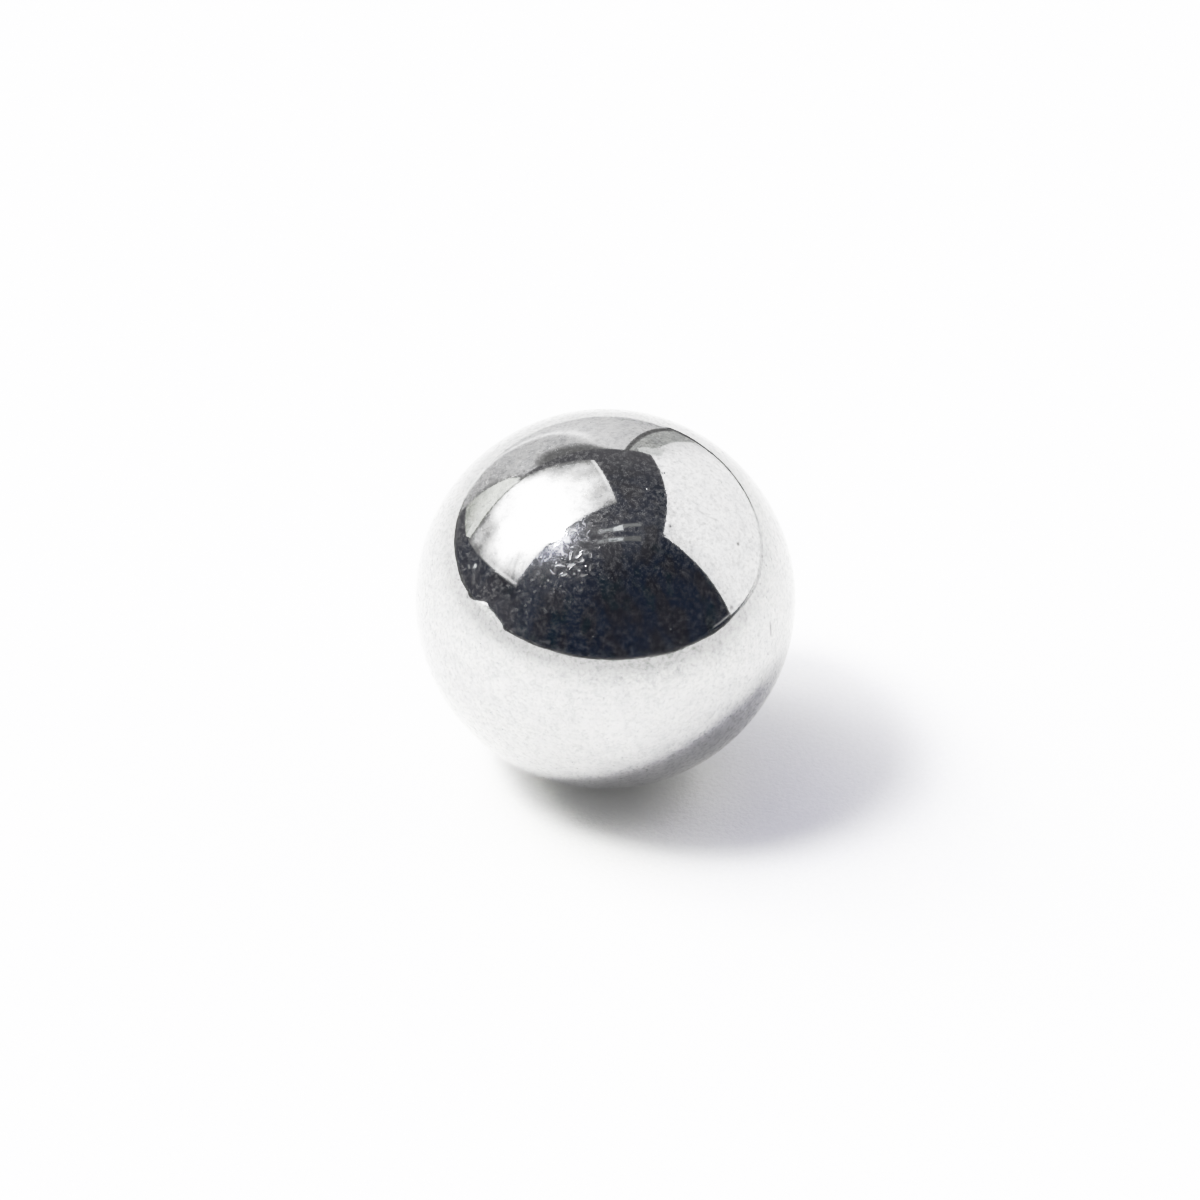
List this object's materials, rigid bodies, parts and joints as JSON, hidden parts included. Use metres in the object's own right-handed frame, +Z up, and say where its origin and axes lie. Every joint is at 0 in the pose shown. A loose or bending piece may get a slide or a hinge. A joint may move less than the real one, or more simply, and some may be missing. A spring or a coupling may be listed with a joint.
{
  "type": "steel ball",
  "caption": "Solid polished steel ball, 25.4 mm across, with a worn mirror finish: fine scratches, small pits and a scuffed patch.",
  "frame": {"origin": "centre of the ball", "axes": "+Z up; the ball has the same form along every axis, and its marks are fixed in this frame"},
  "size_m": [0.0254, 0.0254, 0.0254],
  "materials": {
    "polished_steel": "polished"
  },
  "bodies": {
    "root": {"ball": "polished_steel"}
  },
  "joints": []
}
